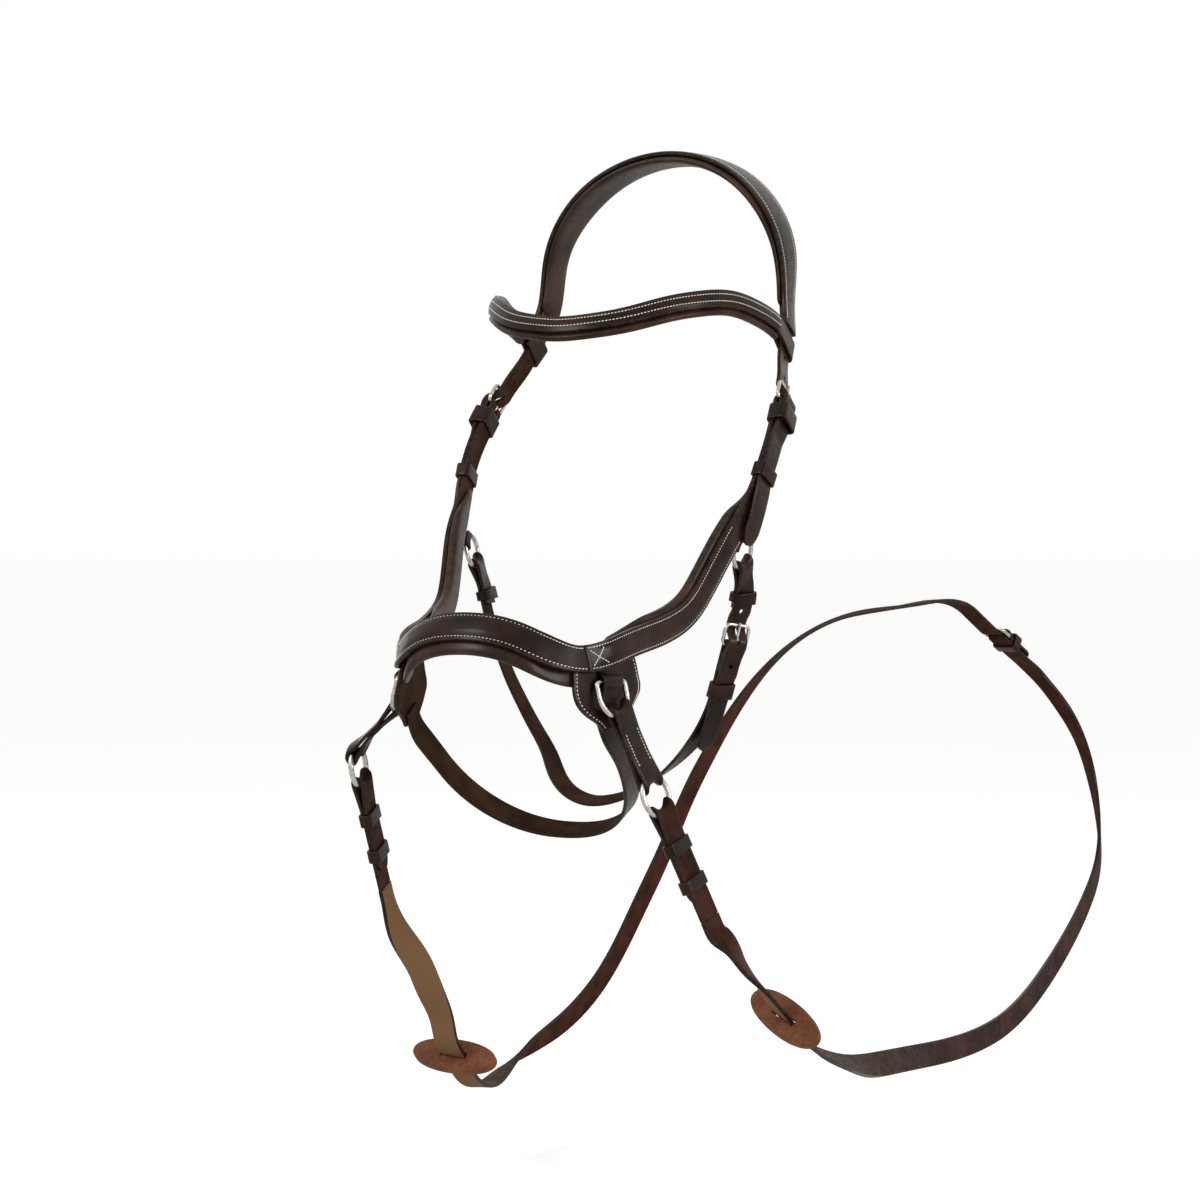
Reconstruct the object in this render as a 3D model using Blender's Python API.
"""Bitless bridle: padded noseband with side dees and reins, cheek arms, crown, browband and jaw strap.

The straps are laid on a fitting form, a smooth shape of nose, cheeks and crown, as a maker lays them on
a last. The form itself is not part of the object. Units are metres, +Z is up, the nose points to -Y and
the wearer's left is +X. The origin is under the middle of the crown pad.
"""
import math

import bmesh
import bpy
import numpy as np
from mathutils import Matrix, Vector

# Fitting form
FORM_LENGTH = 0.600
FORM_HALF_WIDTH = 0.108
FORM_DEPTH = 0.283
FORM_TILT = math.radians(34)
FORM_SQUARENESS = 2.3
CROWN_SETBACK = 0.085
CROWN_DROP = 0.015
station_shares = (-0.10, 0.0, 0.10, 0.20, 0.317, 0.433, 0.55, 0.667, 0.767, 0.867, 1.0)
half_width_shares = (0.583, 0.676, 0.824, 0.926, 1.0, 0.907, 0.769, 0.667, 0.593, 0.528, 0.472)
depth_shares = (0.601, 0.707, 0.837, 0.922, 0.993, 1.0, 0.940, 0.774, 0.643, 0.541, 0.442)

# Gaps
SEAT_GAP = 0.0003
WIRE_GAP = 0.0004
SLEEVE_GAP = 0.0005

# Crown and browband
CROWN_ARCH_HALF_WIDTH = 0.088
CROWN_ARCH_DROP = 0.088
CROWN_ARCH_FORWARD = 0.013
CROWN_HALF_WIDTH = 0.0165
CROWN_END_HALF_WIDTH = 0.0105
CROWN_THICKNESS = 0.0030
CROWN_PAD_HALF_WIDTH = 0.020
CROWN_PAD_END_HALF_WIDTH = 0.012
CROWN_PAD_THICKNESS = 0.0060
CROWN_PAD_END_THICKNESS = 0.0036
CROWN_PAD_END_LENGTH = 0.016
BROWBAND_HALF_WIDTH = 0.0064
BROWBAND_LOOP_HALF_WIDTH = 0.0080
BROWBAND_THICKNESS = 0.0030
BROWBAND_RISE_SHARE = 0.45
BROWBAND_LOOP_THICKNESS = 0.0020
BROWBAND_PAD_ABOVE = 0.0072
BROWBAND_PAD_BELOW = 0.0106
BROWBAND_PAD_THICKNESS = 0.0042

# Cheeks
CHEEK_STRAP_HALF_WIDTH = 0.0080
CHEEK_ARM_HALF_WIDTH = 0.0092
CHEEK_CROSS_HALF_WIDTH = 0.0084
CHEEK_ARM_THICKNESS = 0.0030
CHEEK_TOP_HEIGHT = 0.0040
BILLET_THICKNESS = 0.0024
BILLET_TIP_LENGTH = 0.012
CHAPE_THICKNESS = 0.0020
CHAPE_LENGTH = 0.019
HOLE_RADIUS = 0.0016
HOLE_PITCH = 0.019
CHEEK_PAD_FRONT = 0.0122
CHEEK_PAD_REAR = 0.0058

# Noseband
PAD_LIFT = 0.0003
NOSE_PAD_THICKNESS = 0.0075
NOSE_PAD_THIN = 0.0040
NOSE_PAD_ABOVE = 0.0112
NOSE_PAD_BELOW = 0.0172
NOSE_STRAP_HALF_WIDTH = 0.0102
NOSE_STRAP_END_HALF_WIDTH = 0.0084
NOSE_STRAP_THICKNESS = 0.0032
PATCH_THICKNESS = 0.0026
PATCH_TOP_HALF_WIDTH = 0.0320
PATCH_MIDDLE_HALF_WIDTH = 0.0335
PATCH_BOTTOM_HALF_WIDTH = 0.0125
PATCH_LENGTH = 0.050
CHIN_HALF_WIDTH = 0.0095
CHIN_THICKNESS = 0.0024
CHIN_LIFT = 0.0010

# Buckles
BUCKLE_WIRE_RADIUS = 0.0013
BUCKLE_LENGTH = 0.0140
BUCKLE_CORNER = 0.0035
TONGUE_RADIUS = 0.0010
TONGUE_OVERHANG = 0.0022
KEEPER_THICKNESS = 0.0016

# Hangers
DEE_WIRE_RADIUS = 0.0018
DEE_RADIUS = 0.0140
DEE_LEG = 0.0085
DEE_TAB_HALF_WIDTH = 0.0092
DEE_TAB_ABOVE = 0.0062
DEE_TAB_BELOW = 0.0120
DEE_TAB_THICKNESS = 0.0018
DEE_LEAN = math.radians(10)
CONNECTOR_HALF_WIDTH = 0.0092
CONNECTOR_THICKNESS = 0.0022
CONNECTOR_LENGTH = 0.0450
CONNECTOR_SLANT = math.radians(19)
REIN_RING_RADIUS = 0.0130
REIN_RING_WIRE = 0.0018
CONFORM_NEAR = 0.006
CONFORM_FAR = 0.018
RIGHT_CONNECTOR_TURN = math.radians(34)
RIGHT_RING_TURN = math.radians(55)

# Jaw strap
JAW_RING_RADIUS = 0.0110
JAW_RING_WIRE = 0.0016
JAW_RING_HEIGHT = 0.0040
JAW_HALF_WIDTH = 0.0070
JAW_THICKNESS = 0.0022
JAW_TAB_HALF_WIDTH = 0.0060
JAW_TAB_THICKNESS = 0.0016
JAW_TAB_LENGTH = 0.0041
JAW_FOLD_LENGTH = 0.031

# Reins
REIN_HALF_WIDTH = 0.0092
REIN_THICKNESS = 0.0030
REIN_END_THICKNESS = 0.0022
REIN_FOLD_LENGTH = 0.062
REIN_END_BEYOND = 0.012
REIN_END_LENGTH = REIN_FOLD_LENGTH + REIN_END_BEYOND
REIN_STOP_LENGTH = 0.064
REIN_STOP_WIDTH = 0.025
REIN_STOP_THICKNESS = 0.0065
REIN_BUCKLE_SPAN = 0.044
REIN_STRAIGHT = 0.021

# Strap outlines: share of the half width and share of the thickness
NARROW_LATERAL_SHARES = (-1.0, -0.88, 0.88, 1.0)
WIDE_LATERAL_SHARES = (-1.0, -0.9, 0.0, 0.9, 1.0)
PAD_LATERAL_SHARES = (-1.0, -0.85, -0.45, 0.0, 0.45, 0.85, 1.0)
RING_LATERAL_SHARES = (-1.0, -0.85, -0.5, 0.0, 0.5, 0.85, 1.0)
JAW_LATERAL_SHARES = (-1.0, -0.6, 0.0, 0.6, 1.0)
EDGE_SHARE = 0.45

PARTS = "bitless_bridle"
CUTTERS = "cutters"


def unit(vector):
    """The vector at length one."""
    return np.asarray(vector, float) / np.linalg.norm(vector)


def cubic(knots, values, at):
    """Natural cubic curve through the values at the knots, read at each place in at."""
    knots = np.asarray(knots, float)
    values = np.asarray(values, float).reshape(len(knots), -1)
    at = np.atleast_1d(np.asarray(at, float))
    count = len(knots)
    steps = np.diff(knots)
    slopes = np.diff(values, axis=0) / steps[:, None]
    system = np.eye(count)
    target = np.zeros_like(values)
    for index in range(1, count - 1):
        system[index, index - 1:index + 2] = (
            steps[index - 1], 2 * (steps[index - 1] + steps[index]), steps[index])
        target[index] = 6 * (slopes[index] - slopes[index - 1])
    bends = np.linalg.solve(system, target)
    cell = np.clip(np.searchsorted(knots, at) - 1, 0, count - 2)
    step = steps[cell][:, None]
    after = (at - knots[cell])[:, None] / step
    before = 1 - after
    return (before * values[cell] + after * values[cell + 1]
            + ((before**3 - before) * bends[cell] + (after**3 - after) * bends[cell + 1])
            * step**2 / 6)


FORM_STATIONS = np.linspace(station_shares[0], station_shares[-1], 600)
FORM_HALF_WIDTHS = cubic(station_shares, half_width_shares, FORM_STATIONS)[:, 0]
FORM_DEPTHS = cubic(station_shares, depth_shares, FORM_STATIONS)[:, 0]
FACE_DOWN = np.array((0, -math.sin(FORM_TILT), -math.cos(FORM_TILT)))
FACE_OUT = np.array((0, -math.cos(FORM_TILT), math.sin(FORM_TILT)))
FORM_TOP = np.array((0, -CROWN_SETBACK, CROWN_DROP))


def form_point(station, angle):
    """Point on the form: station is a share of its length, angle in degrees from the front."""
    half_width = FORM_HALF_WIDTH * np.interp(station, FORM_STATIONS, FORM_HALF_WIDTHS)
    half_depth = FORM_DEPTH * np.interp(station, FORM_STATIONS, FORM_DEPTHS) / 2
    turn = math.radians(angle)
    cosine, sine = math.cos(turn), math.sin(turn)
    reach = (abs(cosine)**FORM_SQUARENESS + abs(sine)**FORM_SQUARENESS) ** (-1 / FORM_SQUARENESS)
    across = np.array((half_width * reach * sine, 0, 0))
    inward = half_depth * (reach * cosine - 1)
    return FORM_TOP + across + FACE_DOWN * (station * FORM_LENGTH) + FACE_OUT * inward


def form_slopes(station, angle):
    """How the form's point moves with station and with angle."""
    along = (form_point(station + 0.01, angle) - form_point(station - 0.01, angle)) / 0.02
    around = form_point(station, angle + 1) - form_point(station, angle - 1)
    return along, around / 2


def form_normal(station, angle):
    """Outward normal of the form."""
    along, around = form_slopes(station, angle)
    return unit(np.cross(along, around))


class Frame:
    """Straight local frame: length along, b to the side, n outwards."""

    def __init__(self, origin, along, out):
        self.origin = np.asarray(origin, float)
        self.along = unit(along)
        self.side = unit(np.cross(self.along, out))
        self.out = np.cross(self.side, self.along)

    def place(self, length, b, n):
        return self.origin + self.along * length + self.side * b + self.out * n

    def frame(self, length):
        return Frame(self.place(length, 0, 0), self.along, self.out)

    def turned(self, angle, about):
        """The same origin, turned about one of the frame's own directions."""
        turn = Matrix.Rotation(angle, 3, Vector(about))
        return Frame(self.origin, turn @ Vector(self.along), turn @ Vector(self.out))

    def moved(self, length, b, n):
        return Frame(self.place(length, b, n), self.along, self.out)

    def matrix(self):
        """Object matrix with X along, Y to the side and Z outwards."""
        return Matrix((
            (self.along[0], -self.side[0], self.out[0], self.origin[0]),
            (self.along[1], -self.side[1], self.out[1], self.origin[1]),
            (self.along[2], -self.side[2], self.out[2], self.origin[2]),
            (0, 0, 0, 1)))


class Route:
    """Smooth line in space with an outward direction, measured by its length."""

    def __init__(self, points, outs, samples=260):
        points = np.asarray(points, float)
        chord = np.r_[0, np.cumsum(np.linalg.norm(np.diff(points, axis=0), axis=1))]
        dense = np.linspace(0, chord[-1], samples)
        self.points = cubic(chord, points, dense)
        self.outs = cubic(chord, outs, dense)
        self.measure()

    def measure(self):
        steps = np.linalg.norm(np.diff(self.points, axis=0), axis=1)
        self.lengths = np.r_[0, np.cumsum(steps)]
        self.total = self.lengths[-1]
        self.alongs = np.gradient(self.points, self.lengths, axis=0)

    def read(self, table, length):
        return np.array([np.interp(length, self.lengths, table[:, axis])
                         for axis in range(table.shape[1])])

    def frame(self, length):
        held = min(max(length, 0.0), self.total)
        along = self.read(self.alongs, held)
        origin = self.read(self.points, held) + unit(along) * (length - held)
        return Frame(origin, along, self.read(self.outs, held))

    def place(self, length, b, n):
        return self.frame(length).place(0, b, n)


class FormRoute(Route):
    """Route on the form, given by stations and angles."""

    def __init__(self, knots, samples=260):
        knots = np.asarray(knots, float)
        marks = np.array([form_point(*knot) for knot in knots])
        chord = np.r_[0, np.cumsum(np.linalg.norm(np.diff(marks, axis=0), axis=1))]
        self.knots = cubic(chord, knots, np.linspace(0, chord[-1], samples))
        self.points = np.array([form_point(*knot) for knot in self.knots])
        self.outs = np.array([form_normal(*knot) for knot in self.knots])
        self.measure()

    def length_at(self, station):
        """Length where the route first passes a station, for a route that runs down."""
        return float(np.interp(station, self.knots[:, 0], self.lengths))

    def on_form(self, length, b, n):
        """A place beside the route that keeps to the form across the strap's width."""
        station, angle = self.read(self.knots, min(max(length, 0.0), self.total))
        frame = self.frame(length)
        slopes = np.array(form_slopes(station, angle)).T
        shift = np.linalg.lstsq(slopes, frame.side * b, rcond=None)[0]
        station, angle = station + shift[0], angle + shift[1]
        past = frame.along * (length - min(max(length, 0.0), self.total))
        return form_point(station, angle) + past + form_normal(station, angle) * n


def outline(laterals, bump=0.0, edge=EDGE_SHARE):
    """Closed outline of a strap's section as shares of half width and thickness."""
    outer = []
    inner = []
    for lateral in laterals:
        height = 0.5 * edge if abs(lateral) == 1 else 0.5
        outer.append((lateral, height + bump * (1 - lateral**2)))
        inner.append((lateral, -height))
    return outer + inner[::-1]


def listed(value, count):
    """One value for each row, from a single value or a list."""
    if isinstance(value, (int, float)):
        return [value] * count
    return list(value)


def path_normals(path):
    """Direction square to a path in the length and height plane, at each of its points."""
    path = np.asarray(path, float)
    tangents = np.empty_like(path)
    tangents[1:-1] = path[2:] - path[:-2]
    tangents[0] = path[1] - path[0]
    tangents[-1] = path[-1] - path[-2]
    tangents /= np.linalg.norm(tangents, axis=1)[:, None]
    return np.stack([-tangents[:, 1], tangents[:, 0]], axis=1)


def ribbon_rows(place, path, edges, thickness, shape, conform=None):
    """Section rows of a strap that follows a path of lengths and heights.

    edges is a half width, or a pair of side limits for each row. conform moves a place along the path
    by the side place, so that a fold can lie round a curved wire.
    """
    count = len(path)
    normals = path_normals(path)
    widths = listed(edges, count)
    thicknesses = listed(thickness, count)
    rows = []
    for index, (length, height) in enumerate(path):
        low, high = widths[index] if isinstance(widths[index], tuple) else (
            -widths[index], widths[index])
        row = []
        for lateral, share in shape:
            b = (low + high) / 2 + (high - low) / 2 * lateral
            up = thicknesses[index] * share
            l_place = length + normals[index][0] * up
            n_place = height + normals[index][1] * up
            if conform:
                move = conform(l_place, n_place, b)
                l_place, n_place = l_place + move[0], n_place + move[1]
            row.append(place(l_place, b, n_place))
        rows.append(row)
    return rows


def turn_path(length, height, radius, start, end, steps):
    """Arc in the length and height plane, angles in degrees from the length direction."""
    return [(length + radius * math.cos(math.radians(angle)),
             height + radius * math.sin(math.radians(angle)))
            for angle in np.linspace(start, end, steps)]


def eased(start, end, count):
    """Evenly spaced values from start to end, both included."""
    return list(np.linspace(start, end, count))


def smooth_step(value, low, high):
    """0 below low, 1 above high, smooth between."""
    share = min(max((value - low) / (high - low), 0.0), 1.0)
    return share * share * (3 - 2 * share)


def material(name, colour, roughness, metallic):
    """Plain surface with a colour, a roughness and a metallic value."""
    made = bpy.data.materials.new(name)
    made.use_nodes = True
    shader = made.node_tree.nodes["Principled BSDF"]
    shader.inputs["Base Color"].default_value = (*colour, 1)
    shader.inputs["Roughness"].default_value = roughness
    shader.inputs["Metallic"].default_value = metallic
    return made


def strap_leather(name):
    return material(name + "_leather", (0.055, 0.028, 0.018), 0.45, 0.0)


def pad_leather(name):
    return material(name + "_soft_leather", (0.10, 0.055, 0.034), 0.6, 0.0)


def stop_leather(name):
    return material(name + "_tan_leather", (0.42, 0.17, 0.08), 0.5, 0.0)


def bright_metal(name):
    return material(name + "_metal", (0.80, 0.79, 0.76), 0.18, 1.0)


def add_object(name, mesh, finish, origin=None, parent=None):
    """Put a mesh made in world places into the scene, with its origin at a chosen point."""
    if origin is not None:
        mesh.transform(Matrix.Translation(-Vector(origin)))
    mesh.shade_smooth()
    mesh.set_sharp_from_angle(angle=math.radians(40))
    made = bpy.data.objects.new(name, mesh)
    made.data.materials.append(finish(name))
    bpy.data.collections[PARTS].objects.link(made)
    if origin is not None:
        made.location = origin
    if parent is not None:
        made.parent = parent
    return made


def loft_mesh(name, rows, closed=False, mirror=False):
    """Mesh through rows of points, capped at its ends unless it closes on itself."""
    built = bmesh.new()
    flip = -1 if mirror else 1
    rings = [[built.verts.new((flip * x, y, z)) for x, y, z in row] for row in rows]
    count = len(rings[0])
    pairs = list(zip(rings, rings[1:]))
    if closed:
        pairs.append((rings[-1], rings[0]))
    for first, second in pairs:
        for index in range(count):
            after = (index + 1) % count
            built.faces.new((first[index], first[after], second[after], second[index]))
    if not closed:
        built.faces.new(rings[0][::-1])
        built.faces.new(rings[-1])
    bmesh.ops.recalc_face_normals(built, faces=built.faces)
    mesh = bpy.data.meshes.new(name)
    built.to_mesh(mesh)
    built.free()
    return mesh


def add_loft(name, rows, finish, closed=False, mirror=False, origin=None):
    return add_object(name, loft_mesh(name, rows, closed, mirror), finish, origin)


def sides():
    """Left and right, with whether the right one is a mirror image."""
    return (("left", False), ("right", True))


def flipped(point, mirror):
    return np.array((-point[0], point[1], point[2])) if mirror else np.asarray(point)


def mirror_frame(frame, mirror):
    """The frame on the other side of the object's middle plane."""
    if not mirror:
        return frame
    return Frame(flipped(frame.origin, True), flipped(frame.along, True), flipped(frame.out, True))


def wire_mesh(name, points, radius, matrix, closed, resolution=2):
    """Bent wire through points, as a mesh in world places."""
    curve = bpy.data.curves.new(name, "CURVE")
    curve.dimensions = "3D"
    curve.bevel_depth = radius
    curve.bevel_resolution = resolution
    curve.use_fill_caps = True
    spline = curve.splines.new("POLY")
    spline.points.add(len(points) - 1)
    for place, point in zip(spline.points, points):
        place.co = (*point, 1)
    spline.use_cyclic_u = closed
    holder = bpy.data.objects.new(name, curve)
    bpy.data.collections[PARTS].objects.link(holder)
    bpy.context.view_layer.update()
    mesh = bpy.data.meshes.new_from_object(holder.evaluated_get(bpy.context.evaluated_depsgraph_get()))
    bpy.data.objects.remove(holder)
    bpy.data.curves.remove(curve)
    mesh.transform(matrix)
    welded = bmesh.new()
    welded.from_mesh(mesh)
    bmesh.ops.remove_doubles(welded, verts=welded.verts, dist=radius / 50)
    bmesh.ops.recalc_face_normals(welded, faces=welded.faces)
    welded.to_mesh(mesh)
    welded.free()
    return mesh


def ring_mesh(name, frame, radius, wire):
    """Round ring that lies in the frame's plane."""
    bpy.ops.mesh.primitive_torus_add(
        major_radius=radius, minor_radius=wire, major_segments=36, minor_segments=6)
    made = bpy.context.object
    mesh = made.data
    bpy.data.objects.remove(made)
    mesh.name = name
    mesh.transform(frame.matrix())
    return mesh


def add_cut(target, cutter_mesh, name):
    """Cut a closed shape out of a part."""
    cutter = bpy.data.objects.new(name, cutter_mesh)
    cutter.display_type = "WIRE"
    cutter.hide_render = True
    bpy.data.collections[CUTTERS].objects.link(cutter)
    cut = target.modifiers.new(name, "BOOLEAN")
    cut.operation = "DIFFERENCE"
    cut.solver = "EXACT"
    cut.object = cutter


def hole_mesh(name, frames, radius, stretch, depth):
    """Round or long punches for holes, one at each frame."""
    built = bmesh.new()
    for frame in frames:
        matrix = frame.matrix() @ Matrix.Diagonal((stretch, 1, 1, 1))
        bmesh.ops.create_cone(built, cap_ends=True, segments=12, radius1=radius, radius2=radius,
                              depth=depth, matrix=matrix)
    mesh = bpy.data.meshes.new(name)
    built.to_mesh(mesh)
    built.free()
    return mesh


def sleeve_rows(place, start, end, half_width, low, high, thickness):
    """Keeper: a closed band round a strap, from start to end along it."""
    corner = min(thickness, (high - low) / 3)
    inner = []
    for b, n, angle in ((half_width, high, 45), (-half_width, high, 135),
                        (-half_width, low, 225), (half_width, low, 315)):
        for turn in (-45, 0, 45):
            direction = math.radians(angle + turn)
            b_mid = b - math.copysign(corner, b)
            n_mid = n - corner if n == high else n + corner
            inner.append((b_mid, n_mid, math.cos(direction), math.sin(direction)))
    rows = []
    for b, n, cosine, sine in inner:
        near, far = corner, corner + thickness
        rows.append([place(length, b + cosine * reach, n + sine * reach)
                     for length, reach in ((start, near), (start, far), (end, far), (end, near))])
    return rows


# Routes on the form, as station shares and angles in degrees
cheek_knot_shares = (
    (0.101, 91.5), (0.127, 91.0), (0.160, 89.4), (0.221, 85.2), (0.282, 81.5), (0.318, 80.2),
    (0.350, 80.2), (0.381, 81.6), (0.420, 82.8), (0.440, 83.4))
arm_knot_shares = cheek_knot_shares[:7] + (
    (0.3885, 79.4), (0.431, 77.8), (0.463, 77.6), (0.497, 78.0), (0.530, 77.8), (0.564, 74.6),
    (0.600, 68.3), (0.630, 62.0), (0.6585, 56.2), (0.6775, 49.0), (0.684, 43.0))
nose_knot_shares = (
    (0.646, 60.5), (0.6605, 56.0), (0.6775, 49.0), (0.684, 42.0), (0.6855, 34.0), (0.683, 24.0),
    (0.681, 12.0), (0.6805, 0.0), (0.681, -12.0), (0.683, -24.0), (0.6855, -34.0), (0.684, -42.0),
    (0.6775, -49.0), (0.6605, -56.0), (0.646, -60.5))
brow_knot_shares = (
    (0.158, 99.0), (0.151, 92.5), (0.147, 85.4), (0.1545, 74.3), (0.1645, 66.1), (0.1793, 55.8),
    (0.2066, 43.8), (0.2331, 33.3), (0.2620, 20.9), (0.2760, 9.0), (0.2795, 0.0), (0.2760, -9.0),
    (0.2620, -20.9), (0.2331, -33.3), (0.2066, -43.8), (0.1793, -55.8), (0.1645, -66.1),
    (0.1545, -74.3), (0.147, -85.4), (0.151, -92.5), (0.158, -99.0))
patch_knot_shares = ((0.645, 57.2), (0.657, 60.3), (0.6717, 63.9), (0.682, 66.9), (0.694, 71.3),
                     (0.711, 80.0))
chin_knot_shares = (
    (0.698, 71.0), (0.7115, 80.0), (0.7145, 90.0), (0.7165, 100.0), (0.7205, 111.0),
    (0.7245, 124.0), (0.728, 140.0), (0.731, 160.0), (0.732, 180.0), (0.731, 200.0), (0.728, 220.0),
    (0.7245, 236.0), (0.7205, 249.0), (0.7165, 260.0), (0.7145, 270.0), (0.7115, 280.0),
    (0.698, 289.0))
jaw_knot_shares = (
    (0.446, 96.2), (0.472, 102.0), (0.500, 107.5), (0.527, 114.0), (0.549, 122.0), (0.575, 132.0),
    (0.602, 142.0), (0.630, 150.0), (0.655, 160.0), (0.668, 170.0), (0.673, 180.0))
ARM_SPLIT_STATION = 0.352
CHEEK_BAR_STATION = 0.2435
CHEEK_KEEPER_STATION = 0.341
CHEEK_PAD_TIP_STATION = 0.363
ARM_END_STATION = 0.672
LOOP_STATION = 0.1475
BILLET_TIP_STATION = 0.424
JAW_BAR_STATION = 0.500
JAW_RING_STATION = 0.424
JAW_RING_ANGLE = 87.4
DEE_STATION = 0.675

CHEEK = FormRoute(cheek_knot_shares)
ARM = FormRoute(arm_knot_shares)
NOSE = FormRoute(nose_knot_shares)
BROW = FormRoute(brow_knot_shares)
PATCH = FormRoute(patch_knot_shares)
CHIN = FormRoute(chin_knot_shares)

PAD_TOP = PAD_LIFT + NOSE_PAD_THICKNESS
PAD_THIN_TOP = PAD_LIFT + NOSE_PAD_THIN
STRAP_LEVEL = PAD_TOP + SEAT_GAP
PATCH_LEVEL = PAD_THIN_TOP + 2 * SEAT_GAP
PATCH_TOP = PATCH_LEVEL + PATCH_THICKNESS
CROSS_LEVEL = STRAP_LEVEL + NOSE_STRAP_THICKNESS + SEAT_GAP


def crown_route():
    """Arch over the poll, joined to the top of both cheeks."""
    points = []
    outs = []
    for angle in (8, 30, 52, 74):
        turn = math.radians(angle)
        points.append((CROWN_ARCH_HALF_WIDTH * math.sin(turn),
                       -CROWN_ARCH_FORWARD * math.sin(turn)**2,
                       -CROWN_ARCH_DROP * (1 - math.cos(turn))))
        outs.append((math.sin(turn), 0, math.cos(turn)))
    for station, angle in cheek_knot_shares[:3]:
        points.append(form_point(station, angle))
        outs.append(form_normal(station, angle))
    left = [np.asarray(point, float) for point in points]
    right = [flipped(point, True) for point in left]
    left_outs = [np.asarray(out, float) for out in outs]
    right_outs = [flipped(out, True) for out in left_outs]
    top = [np.zeros(3)]
    top_out = [np.array((0.0, 0.0, 1.0))]
    return Route(left[::-1] + top + right, left_outs[::-1] + top_out + right_outs, 400)


CROWN = crown_route()
CROWN_MIDDLE = CROWN.total / 2
LOOP_LENGTH = CHEEK.length_at(LOOP_STATION)
CROWN_JOIN = CHEEK.length_at(cheek_knot_shares[2][0])
CROWN_STRAP_HALF = CROWN_MIDDLE - CROWN_JOIN + LOOP_LENGTH - BROWBAND_LOOP_HALF_WIDTH * 1.3
CROWN_PAD_HALF = CROWN_STRAP_HALF - CROWN_PAD_END_LENGTH
BILLET_TOP = CROWN_PAD_END_THICKNESS - BILLET_THICKNESS / 2


def arm_level(length):
    """Height of the cheek arm's inner face over the form."""
    first = smooth_step(length, ARM.length_at(0.345), ARM.length_at(0.455))
    second = smooth_step(length, ARM.length_at(0.595), ARM.length_at(0.640))
    return (CHEEK_TOP_HEIGHT + (STRAP_LEVEL - CHEEK_TOP_HEIGHT) * first
            + (CROSS_LEVEL - STRAP_LEVEL) * second)


class Buckling:
    """Heights and lengths of a strap pair that meets in a buckle."""

    def __init__(self, bar, level, strap_thickness, billet_thickness):
        self.bar = bar
        self.level = level
        self.billet = billet_thickness
        self.strap = strap_thickness
        self.height = level + CHAPE_THICKNESS + WIRE_GAP + BUCKLE_WIRE_RADIUS
        self.turn = BUCKLE_WIRE_RADIUS + WIRE_GAP + CHAPE_THICKNESS / 2
        self.front = bar - BUCKLE_LENGTH
        self.under = self.height - BUCKLE_WIRE_RADIUS - WIRE_GAP - billet_thickness / 2
        self.over = (self.height + self.turn + CHAPE_THICKNESS / 2 + SEAT_GAP + billet_thickness / 2)
        self.layer = level + strap_thickness + SEAT_GAP + CHAPE_THICKNESS / 2
        self.on_layer = self.layer + CHAPE_THICKNESS / 2 + SEAT_GAP + billet_thickness / 2
        self.on_strap = level + strap_thickness + SEAT_GAP + billet_thickness / 2

    def chape(self):
        """Fold of the lower strap round the bar, from its free end to the strap's inner layer."""
        free = [(self.bar + CHAPE_LENGTH * share, self.layer) for share in (1.0, 0.75, 0.5)]
        fold = turn_path(self.bar, self.height, self.turn, 75, 285, 9)
        return free + fold

    def billet_path(self):
        """Upper strap: under the front of the frame, up and over the bar, then on the layers."""
        length = BUCKLE_LENGTH
        return [(self.front - 0.2 * length, self.under), (self.bar - 0.92 * length, self.under),
                (self.bar - 0.78 * length, self.under + 0.08 * (self.over - self.under)),
                (self.bar - 0.64 * length, self.under + 0.30 * (self.over - self.under)),
                (self.bar - 0.50 * length, self.under + 0.60 * (self.over - self.under)),
                (self.bar - 0.36 * length, self.under + 0.87 * (self.over - self.under)),
                (self.bar - 0.22 * length, self.over),
                (self.bar + 0.05 * length, self.over),
                (self.bar + 0.40 * CHAPE_LENGTH, self.on_layer + 0.25 * (self.over - self.on_layer)),
                (self.bar + 0.75 * CHAPE_LENGTH, self.on_layer),
                (self.bar + 1.05 * CHAPE_LENGTH, self.on_layer),
                (self.bar + 1.6 * CHAPE_LENGTH, self.on_strap)]


def buckle_meshes(name, frame, half_width):
    """Wire frame and tongue of a buckle: the frame's origin is on the bar, its front is at -along."""
    half = half_width + WIRE_GAP + 2 * SEAT_GAP + BUCKLE_WIRE_RADIUS
    corners = ((0, half), (0, -half), (-BUCKLE_LENGTH, -half), (-BUCKLE_LENGTH, half))
    points = []
    middle = np.array((-BUCKLE_LENGTH / 2, 0))
    for x, y in corners:
        centre = np.array((x + math.copysign(BUCKLE_CORNER, middle[0] - x),
                           y - math.copysign(BUCKLE_CORNER, y)))
        base = math.degrees(math.atan2(y - centre[1], x - centre[0]))
        for turn in (40, 14, -14, -40):
            direction = math.radians(base + turn * 45 / 40)
            points.append((centre[0] + BUCKLE_CORNER * math.cos(direction),
                           centre[1] + BUCKLE_CORNER * math.sin(direction), 0))
    frame_mesh = wire_mesh(name + "_frame", points, BUCKLE_WIRE_RADIUS, frame.matrix(), True)
    turn_radius = BUCKLE_WIRE_RADIUS + WIRE_GAP / 2 + TONGUE_RADIUS
    hook = [(length, 0, height) for length, height in
            turn_path(0, 0, turn_radius, -130, 90, 11)]
    straight = [(-length, 0, turn_radius) for length in
                np.linspace(BUCKLE_LENGTH * 0.25, BUCKLE_LENGTH + TONGUE_OVERHANG, 5)]
    tongue_mesh = wire_mesh(name + "_tongue", hook + straight, TONGUE_RADIUS, frame.matrix(), False, 1)
    return frame_mesh, tongue_mesh


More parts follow.
